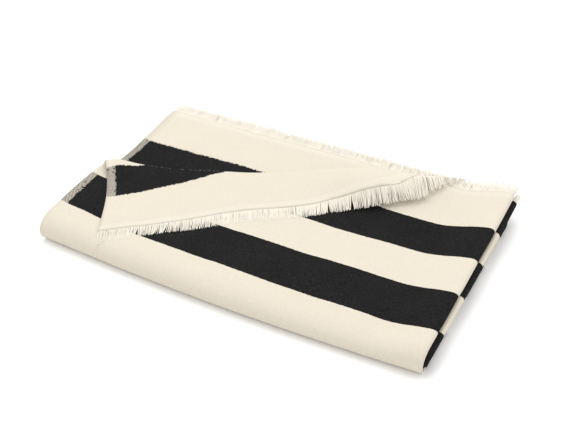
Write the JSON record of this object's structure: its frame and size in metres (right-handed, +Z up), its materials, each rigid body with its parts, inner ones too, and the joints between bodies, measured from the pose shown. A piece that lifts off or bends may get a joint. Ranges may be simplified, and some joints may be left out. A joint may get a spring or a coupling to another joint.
{
  "type": "folded beach towel",
  "caption": "Striped beach towel with fringed ends, folded into a flat pile of layers with one corner of the top layer laid over.",
  "frame": {"origin": "middle of the box's underside, on the surface that the folded towel lies on", "axes": "+X along the stripes toward the lengthwise fold, +Y away from the front roll toward the fringed ends, +Z up"},
  "size_m": [0.5195, 0.3402, 0.0504],
  "materials": {
    "woven_cotton": "matte woven cotton, cream with black cross stripes",
    "fringe_cotton": "matte loose cotton ends, cream"
  },
  "bodies": {
    "root": {"towel_cloth": "woven_cotton", "fringe_top_end": "fringe_cotton", "fringe_inner_end": "fringe_cotton"}
  },
  "joints": []
}
